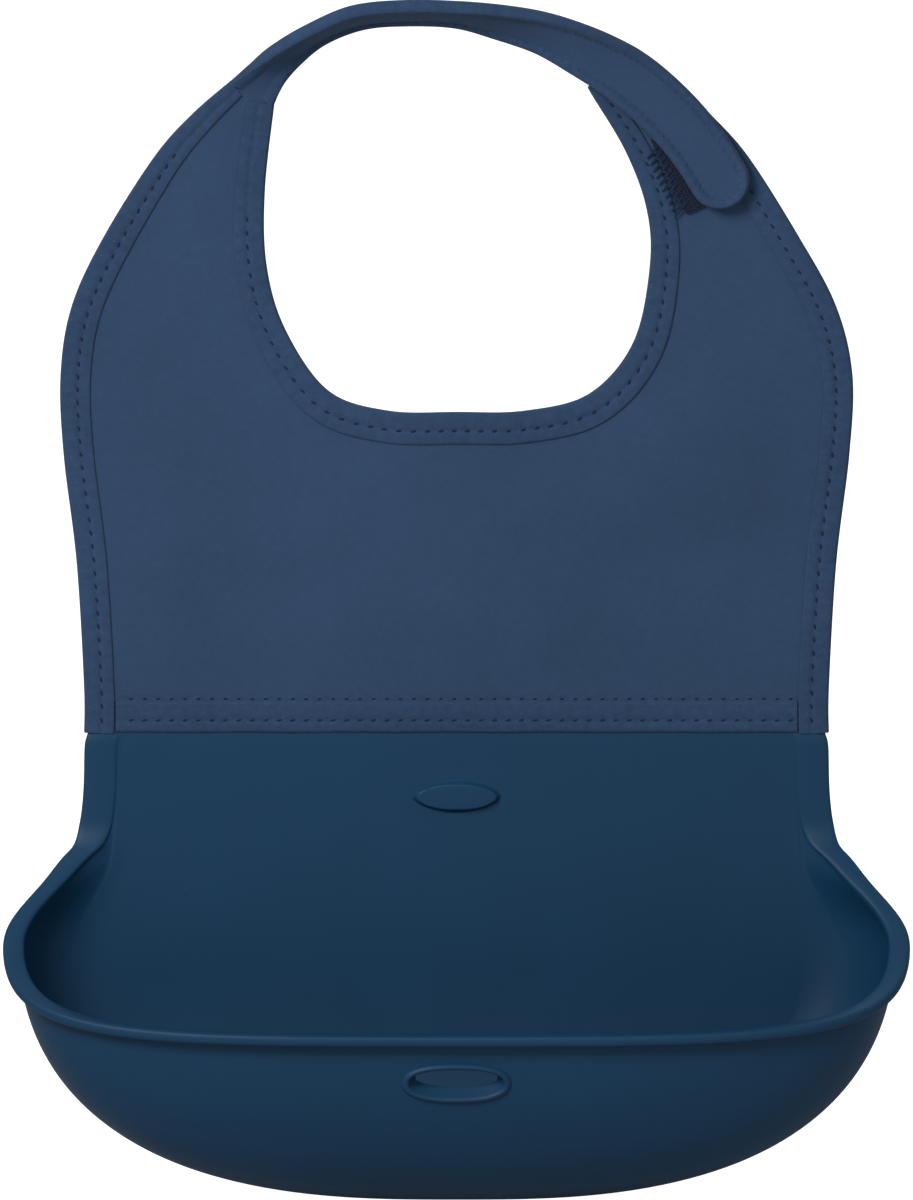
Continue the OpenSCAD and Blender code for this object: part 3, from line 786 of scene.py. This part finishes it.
strap_stitch_long, strap_thread_d, inner_share = 1.2, 0.4, 0.7
strap_seams = (strap_stitch_rows(edge_rows(1, 0, halfway), stitch_share)
               + strap_stitch_rows(edge_rows(-1, 0, halfway), inner_share))
for name, seams, into in (("strap_thread", strap_seams, strap_pieces),
                          ("tab_thread", strap_stitch_rows(round_tab, inner_share), tab_pieces)):
    into.append(stitch_piece(name, seams, strap_stitch_long, strap_thread_d, binding))
print("strap:", [o.name for o in strap_pieces], "tab:", [o.name for o in tab_pieces])

# %% [markdown]
# ## Hook and loop
# The closure is two small patches. The loop half is a soft pile of fine tufts on the shoulder, and
# the hook half on the tab's back is rows of stiff stubs. Both are small plates with rounded edges,
# and their tufts and stubs are tiny cones with five sides.


# %% A patch with its pile
def patch(name, centre, turn, long, wide, y_low, y_high, material, pitch, tall, thick, lean, way, seed):
    chance = random.Random(seed)
    bm = bmesh.new()
    bmesh.ops.create_cube(bm, size=1.0)
    for v in bm.verts:
        v.co = Vector((v.co.x * long, v.co.y * (y_high - y_low), v.co.z * wide)) * MM
    upright = [e for e in bm.edges if abs((e.verts[0].co - e.verts[1].co).normalized().y) > 0.9]
    bmesh.ops.bevel(bm, geom=upright, offset=1.2 * MM, segments=4, profile=0.5, affect="EDGES",
                    material=-1)
    bmesh.ops.bevel(bm, geom=[e for e in bm.edges if e.calc_face_angle(0) > 1.0], offset=0.25 * MM,
                    segments=2, profile=0.5, affect="EDGES", material=-1)
    top = (y_high - y_low) / 2
    for i in range(int(long / pitch) - 1):
        for j in range(int(wide / pitch) - 1):
            x = -long / 2 + pitch * (i + 1) + chance.uniform(-0.25, 0.25) * lean
            z = -wide / 2 + pitch * (j + 1) + chance.uniform(-0.25, 0.25) * lean
            cone = bmesh.ops.create_cone(bm, segments=5, radius1=thick, radius2=thick * 0.4, depth=tall,
                                         cap_ends=True)["verts"]
            tilt = Matrix.Rotation(chance.uniform(-1, 1) * lean, 3, "X") @ Matrix.Rotation(
                chance.uniform(-1, 1) * lean, 3, "Y")
            for v in cone:
                bent = tilt @ Vector(v.co)
                v.co = Vector((x + bent.x, way * (top + bent.z + tall * 0.3), z + bent.y)) * MM
    turned = Matrix.Rotation(-math.radians(turn), 3, "Y")
    for v in bm.verts:
        v.co = turned @ v.co + Vector((centre[0], (y_low + y_high) / 2, centre[1])) * MM
    bmesh.ops.recalc_face_normals(bm, faces=bm.faces)
    map_from_front(bm)
    return make_piece(name, bm, material)


patch_x, patch_z, patch_turn = 65.1, 14.4, 115
loop_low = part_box("loop_patch")[0].y / MM
hook_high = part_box("hook_patch")[1].y / MM
hook_mid = on_arc(strap_r - 0.3, 40.5)
loop_piece = patch("loop_pile_patch", (patch_x, patch_z), patch_turn, 25, 9.2, loop_low,
                   -pack_half - 0.02, pile, 0.95, 0.5, 0.2, 0.6, -1, 4)
hook_piece = patch("hook_stub_patch", (hook_mid.x, hook_mid.z), 130.5, 27, 8.0, tab_y + pack_half + 0.24,
                   hook_high, hook_tape, 1.3, 0.3, 0.16, 0.15, 1, 6)
print("patches:", len(loop_piece.data.polygons), len(hook_piece.data.polygons))

# %% Whip stitches over the loop patch's neck side
patch_middle = Vector((patch_x, loop_low - 0.1, patch_z))
along_patch = Vector((math.cos(math.radians(patch_turn)), 0, math.sin(math.radians(patch_turn))))
to_neck = Vector((-along_patch.z, 0, along_patch.x))
whip = bmesh.new()
for k in range(10):
    spot = patch_middle + to_neck * 5.0 + along_patch * (-10.4 + 2.1 * k)
    add_stitch(whip, spot, Vector((0.62, -0.02, 0.78)), Vector((0, -1, 0)), 6.8, 0.6)
for s in (-1, 1):
    for k in range(3):
        spot = patch_middle + along_patch * s * 11.4 + to_neck * (-3.2 + 3.2 * k)
        add_stitch(whip, spot, to_neck, Vector((0, -1, 0)), 2.4, 0.5)
map_from_front(whip)
patch_thread = make_piece("loop_patch_thread", whip, thread)

# %% [markdown]
# ## The care label
# A small blank satin label is sewn into the back beside the hem. It is one curved strip with a
# little thickness, held at its outer end and lifting slightly at the free one.

# %% The label
label_low, label_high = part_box("care_label")


def label_point(u, t):
    x = label_low.x + (label_high.x - label_low.x) * u
    y = label_low.y + (0.1 + 0.9 * u * u) * MM + 0.0001 * math.sin(5 * t)
    return Vector((x, y, label_low.z + (label_high.z - label_low.z) * t)) / MM


label_bm = shaped_grid(24, 14, label_point, wide=24, long=14)
label_bm = with_modifiers(label_bm, ("SOLIDIFY", {"thickness": 0.3 * MM, "offset": 0.0}))
label = make_piece("care_label_satin", label_bm, label_cloth)
print("label:", len(label.data.polygons), "faces")

# %% [markdown]
# ## The silicone moulding
# One moulding makes the flat panel, the side bands, the rim bead and the pocket. It is a single
# shell, drawn as columns that start on its edge and run down to the bottom of the pocket, outside
# and inside. The grid of columns is closed at the bottom and then subdivided, which rounds the bead
# and every corner the way a mould does.

# %% The moulding's proportions
pocket_w, pocket_depth, pocket_h, wall_t, rim_t = 263.4, 66.0, 132.0, 2.2, 3.6
bead_out, bead_in, corner_r, mid_y = 4.2, 3.2, 26.0, -30.0
rim_start, rim_drop, widest, front_start = 32.0, 78.0, 50.0, 70.0
half_t = wall_t / 2
wall_half = pocket_w / 2 - bead_out
side_y = half_t - corner_r
panel_edge = half_hem + edge_proud
hidden_h, sewn_half = -8.5, 0.93


def narrowing(h, start, p, q, bottom):
    return 1.0 if h <= start else max(0.0, 1 - min(1.0, (h - start) / (bottom - start)) ** p) ** (1 / q)


def throat(h):
    return 0.932 + 0.068 * math.sin(math.pi / 2 * min(1.0, max(0.0, (h - 39) / 19))) ** 2


def width_share(h, bottom):
    return throat(h) * narrowing(h, widest, 2.5, 2.7, bottom)


def rim_drop_at(y):
    t = min(1.0, max(0.0, (-half_t - y) / (pocket_depth - half_t)))
    return rim_start + (rim_drop - rim_start) * (1 - (1 - t) ** 1.6)


def corner_point(inset, degrees):
    r, a = corner_r - inset, math.radians(degrees)
    return Vector((wall_half - corner_r + r * math.cos(a), side_y + r * math.sin(a)))


def front_point(inset, degrees):
    a = math.radians(degrees)
    return Vector(((wall_half - inset) * max(0.0, math.cos(a)) ** (2 / 3),
                   side_y - (pocket_depth + side_y - inset) * math.sin(a) ** (2 / 3)))


# %% Columns: edge point, outward direction, bead share, outside and inside positions
def top_column(x):
    return (Vector((x, 0, seam_z - hidden_h)), Vector((0, 0, 1)), -1.0,
            (Vector((x, half_t)), Vector((0.95 * x, half_t))),
            (Vector((x, -half_t)), Vector((0.95 * x, -half_t))))


def side_column(h, degrees):
    flare = (max(0.0, h) / 28.5) ** 4
    tuck = 1.3 * (1 - smooth_step(-0.5, 3.5, h))
    x = panel_edge - bead_out + 1.7 * flare - tuck
    return (Vector((x, -0.2 * flare, seam_z - h)), Vector((1, 0, 0)), 0.0,
            (Vector((x / throat(0), half_t)), corner_point(0, degrees)),
            (Vector(((x - wall_t - bead_in) / throat(0), -half_t)), corner_point(wall_t, degrees)))


def rim_column(point, degrees, out):
    p, inner = point(0, degrees), point(wall_t, degrees)
    h = rim_drop_at(p.y)
    share = min(1.0, (max(0.0, -p.y) / 14) ** 0.7)
    return (Vector((p.x * width_share(h, pocket_h), p.y, seam_z - h)), Vector(out), share,
            (p, p), (inner, inner))


right_columns = [top_column(96 * k / 6) for k in range(7)]
right_columns += [side_column(h, a) for h, a in (
    (hidden_h, 89), (-1.0, 88), (0.8, 87), (2.5, 86), (6, 84), (12, 79), (18, 74), (24, 69), (28.5, 64))]
right_columns += [rim_column(corner_point, a, (1, 0, 0)) for a in (60, 52, 44, 36, 28, 20, 10, 0)]
for a in (2, 5, 9, 14, 20, 26, 32, 39, 46, 54, 62, 71, 80, 90):
    out = (max(0.0, math.cos(math.radians(a))) ** 1.1, -math.sin(math.radians(a)) ** 1.1, 0)
    right_columns.append(rim_column(front_point, a, out))
print("columns:", len(right_columns))


# %% The section of the edge: a thin sewn end, a flat band, or a round bead
def edge_section(share, h):
    if share < 0:
        return [(0, -sewn_half), (0.3, -0.9), (0.5, -0.5), (0.5, -0.15), (0.5, 0.15), (0.5, 0.5),
                (0.3, 0.9), (0, sewn_half)]
    showing = smooth_step(-0.4, 1.6, h)
    back = mix(mix(sewn_half, half_t, showing), rim_t / 2, share)
    front = mix(mix(sewn_half, half_t + 0.6, showing), rim_t / 2, share)
    c, a = 0.45 * back, -wall_t - bead_in * (1 - share)
    return [(0, -back), (bead_out - c, -back), (bead_out, c - back), (bead_out, front - c),
            (bead_out - c, front), (a + mix(2.6, 1, share) * c, front),
            (a + mix(0.5, 0, share) * c, front - mix(0.75, 1, share) * c), (a, mix(half_t, -back, share))]


def edge_point(i, q):
    last = len(right_columns) - 1
    run = right_columns[min(i + 1, last)][0] - right_columns[max(i - 1, 0)][0]
    if i == last:
        run = Vector((-1, 0, 0))
    if i == 0:
        run = Vector((1, 0, 0))
    edge, out, share = right_columns[i][:3]
    out = out.normalized()
    up = run.cross(out).normalized()
    s = edge_section(share, seam_z - edge.z)[q]
    return edge + out * s[0] + up * s[1]


def wall_point(i, f, side):
    column = right_columns[i]
    bottom = pocket_h if side == 3 else pocket_h - wall_t
    h = mix(seam_z - column[0].z, bottom, f)
    p = mix(column[side][0], column[side][1], math.sin(math.pi / 2 * min(1.0, f / 0.4)) ** 2)
    deep = narrowing(h, front_start, 2.1, 2.1, bottom)
    thin = mix(sewn_half / half_t, 1.0, smooth_step(-0.2, 1.8, h))
    return Vector((p.x * width_share(h, bottom), mid_y * (1 - deep) + p.y * deep * thin, seam_z - h))


# %% The shell
wall_shares = [0.012, 0.045, 0.064, 0.078, 0.10, 0.15, 0.21, 0.28, 0.36, 0.45, 0.54, 0.63, 0.72, 0.80,
               0.87, 0.93, 0.97, 0.992, 1.0]
shell_rows = ([("wall", f, 3) for f in reversed(wall_shares)] + [("edge", q, 0) for q in range(8)]
              + [("wall", f, 4) for f in wall_shares])
columns = len(right_columns)
around = 2 * (columns - 1)


def shell_point(u, t):
    k = round(u * around) % around
    i = k if k < columns else around - k
    kind, value, side = shell_rows[round(t * (len(shell_rows) - 1))]
    p = edge_point(i, value) if kind == "edge" else wall_point(i, value, side)
    return Vector((p.x if k < columns else -p.x, p.y, p.z))


shell = shaped_grid(around, len(shell_rows) - 1, shell_point, wide=500, long=300)
shell = with_modifiers(shell, ("SUBSURF", {"levels": 2, "render_levels": 2}))
print("moulding shell:", len(shell.faces), "faces")

# %% [markdown]
# ## The slot and the button
# The button on the panel goes through the slot in the pocket's front when the bib is rolled up. The
# slot has a raised lip that runs in as a funnel. Its hole is cut with a Boolean modifier, whose cut
# edge the lip covers, and the lip and the oval button are lofted separately and joined in.

# %% Cut the slot
slot_drop, slot_lean = 91.5, math.radians(11)
slot_y = mix(mid_y, -pocket_depth, narrowing(slot_drop, front_start, 2.1, 2.1, pocket_h))
slot_middle = Vector((0, slot_y, seam_z - slot_drop))
slot_out = Vector((0, -math.cos(slot_lean), -math.sin(slot_lean)))
slot_up = Vector((0, -math.sin(slot_lean), math.cos(slot_lean)))


def oval_point(a, wide, high, out, up=0.0, power=2.35):
    x = math.copysign(abs(math.cos(a)) ** (2 / power) * wide, math.cos(a))
    z = math.copysign(abs(math.sin(a)) ** (2 / power) * high, math.sin(a))
    sag = 1.15 * (x / 15) ** 2 * 0.18
    return slot_middle + Vector((x, 0, 0)) + slot_up * (z + up) + slot_out * (out - sag)


def plug_point(u, t):
    return oval_point(2 * math.pi * u, 14.5, 5.1, mix(-9, 6, t))


plug = make_piece("slot_plug", shaped_grid(64, 1, plug_point, close_ends=True), silicone)
shell = with_modifiers(shell, ("BOOLEAN", {
    "object": plug, "operation": "DIFFERENCE", "solver": "EXACT"}))
bpy.data.objects.remove(plug)
print("shell with its slot:", len(shell.faces), "faces")

# %% The slot's lip: rings of (half width, half height, out, up)
lip_rings = [
    (16.1, 6.2, -0.5, 0.2), (15.9, 6.1, 0.06, 0.2), (15.5, 5.8, 0.42, 0.2), (15.0, 5.5, 0.80, 0.2),
    (14.5, 5.1, 0.92, 0.2), (14.0, 4.7, 0.75, 0.2), (13.6, 4.3, 0.2, 0.25), (13.1, 3.9, -0.9, 0.45),
    (12.3, 3.2, -2.3, 0.8), (11.8, 2.8, -3.1, 0.95), (12.1, 3.0, -3.5, 0.9), (14.3, 4.7, -3.2, 0.3),
    (15.4, 5.6, -2.4, 0), (15.6, 5.8, -1.4, 0)]


def lip_point(u, t):
    ring = lip_rings[round(t * len(lip_rings)) % len(lip_rings)]
    return oval_point(2 * math.pi * u, ring[0], ring[1], ring[2], ring[3])


lip = shaped_grid(72, len(lip_rings), lip_point)
print("slot lip:", len(lip.faces), "faces")

# %% The oval button, slightly pointed at its ends
button_w, button_h, button_drop, button_proud = 25.0, 9.0, 18.8, 1.8
button_power = 1.8


def button_point(u, t):
    a = 2 * math.pi * u
    wide, high = abs(math.cos(a)) / (button_w / 2), abs(math.sin(a)) / (button_h / 2)
    reach = (wide ** button_power + high ** button_power) ** (-1 / button_power)
    r = (reach + 0.5) * t
    rise = button_proud * smooth_step(-0.5, 1.15, reach - r) + 0.14 * (1 - t) ** 0.5 - 0.05
    return Vector((r * math.cos(a), -half_t - rise, seam_z - button_drop + r * math.sin(a)))


button = shaped_grid(96, 26, button_point)
print("button:", len(button.faces), "faces")

# %% Join them to the shell
for part in (lip, button):
    mesh = bpy.data.meshes.new("part")
    part.to_mesh(mesh)
    part.free()
    shell.from_mesh(mesh)
    bpy.data.meshes.remove(mesh)
moulding = make_piece("silicone_moulding", shell, silicone, sharp=40)
print("moulding:", len(moulding.data.polygons), "faces")

# %% [markdown]
# ## What moves with what
# The top stays still. On the real bib the moulding bends along its thin line below the hem, the strap swings
# from the left shoulder, and the tab peels up from the strap. Here the top's pieces are parented to one
# empty and the hook patch to another; the strap, tab and moulding pieces have their placement baked in.

# %% Bodies, slots and the solids that each piece stands for
stands_for = {
    "cloth_front": ("cloth", ["front_cloth"]), "cloth_back": ("lining", ["back_lining"]),
    "neck_tape": ("binding", ["neck_binding"]), "left_tape": ("binding", ["left_binding"]),
    "right_tape": ("binding", ["right_binding"]), "hem_front": ("binding", ["hem_band_front"]),
    "hem_back": ("binding", ["hem_band_back"]), "neck_thread": ("thread", ["neck_stitches"]),
    "left_thread": ("thread", ["left_stitches"]), "right_thread": ("thread", ["right_stitches"]),
    "hem_lower_thread": ("thread", ["hem_lower_stitches"]),
    "hem_upper_thread": ("thread", ["hem_upper_stitches"]),
    "loop_pile_patch": ("loop_pile", ["loop_patch"]),
    "loop_patch_thread": ("thread", ["loop_patch_stitches"]),
    "care_label_satin": ("label", ["care_label"]), "hook_stub_patch": ("hook_tape", ["hook_patch"]),
    "silicone_moulding": ("silicone", ["silicone_pocket", "silicone_flange"]),
    "strap_cloth": ("cloth", ["strap_face"]), "strap_back": ("lining", ["strap_lining"]),
    "strap_tape_outer": ("binding", ["strap_outer_binding"]),
    "strap_tape_inner": ("binding", ["strap_inner_binding"]),
    "strap_thread": ("thread", ["strap_stitches"]), "tab_cloth": ("cloth", ["tab_face"]),
    "tab_back": ("lining", ["tab_lining"]), "tab_tape": ("binding", ["tab_binding"]),
    "tab_thread": ("thread", ["tab_stitches"])}
for name, (slot, nodes) in stands_for.items():
    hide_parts(*nodes)
for piece in (cloth_front, cloth_back, neck_tape, left_tape, right_tape, hem_front, hem_back,
              neck_stitches, left_stitches, right_stitches, hem_lower, hem_upper, loop_piece,
              patch_thread, label):
    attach(piece, "top")
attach(hook_piece, "tab")

# %% Placement baked into the strap, tab and moulding pieces
for piece in strap_pieces:
    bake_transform(piece)
for piece in tab_pieces:
    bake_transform(piece)
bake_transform(moulding)
print("pieces:", len(stands_for))

# %% [markdown]
# ## Stage, lights and camera
# The bib stands upright in front of a plain white floor. A long lens from ten degrees above keeps
# its proportions true. A wide soft light on the upper left gives the cloth its gentle shape.

# %% Floor and surroundings
def plain_floor():
    bm = bmesh.new()
    bmesh.ops.create_grid(bm, x_segments=2, y_segments=2, size=12.0)
    for v in bm.verts:
        v.co.z = cad_box[0][2] - 0.004
    material = bpy.data.materials.new("white_floor")
    material.use_nodes = True
    shader = material.node_tree.nodes["Principled BSDF"]
    shader.inputs["Base Color"].default_value = (0.5, 0.5, 0.5, 1)
    shader.inputs["Roughness"].default_value = 0.9
    shader.inputs["Specular IOR Level"].default_value = 0.0
    shader.inputs["Emission Color"].default_value = (1, 1, 1, 1)
    rays = material.node_tree.nodes.new("ShaderNodeLightPath")
    material.node_tree.links.new(rays.outputs["Is Camera Ray"], shader.inputs["Emission Strength"])
    floor = make_piece("floor", bm, material)


plain_floor()
world = bpy.data.worlds.new("studio")
bpy.context.scene.world = world
world.use_nodes = True
world.node_tree.nodes["Background"].inputs[0].default_value = (1.0, 1.0, 1.0, 1)
world.node_tree.nodes["Background"].inputs[1].default_value = 0.36
bpy.context.scene.view_settings.view_transform = "Standard"


# %% Soft lights
def soft_light(name, at, towards, size, power, colour=(1, 1, 1)):
    light = bpy.data.lights.new(name, "AREA")
    light.shape, light.size, light.energy, light.color = "DISK", size, power, colour
    lamp = bpy.data.objects.new(name, light)
    lamp.location = at
    lamp.rotation_euler = (Vector(towards) - Vector(at)).to_track_quat("-Z", "Y").to_euler()
    bpy.context.scene.collection.objects.link(lamp)


bib_middle = (0, 0, -0.11)
soft_light("key", (-0.62, -1.0, 0.66), bib_middle, 0.6, 14.5)
soft_light("fill", (0.8, -1.7, -0.1), bib_middle, 1.2, 2.6)
soft_light("rim", (0.3, 1.2, 1.2), bib_middle, 1.0, 3)

# %% Camera
camera_data = bpy.data.cameras.new("camera")
camera = bpy.data.objects.new("camera", camera_data)
bpy.context.scene.collection.objects.link(camera)
frame_height, distance, elevation = 0.348, 6.0, math.radians(10)
target = Vector((0, 0, -0.1121))
back = Vector((0, -math.cos(elevation), math.sin(elevation)))
camera.location = target + back * distance
camera.rotation_euler = (-back).to_track_quat("-Z", "Y").to_euler()
camera_data.sensor_width = 36
camera_data.lens = 36 * distance / frame_height
camera_data.clip_end = 100
bpy.context.scene.camera = camera
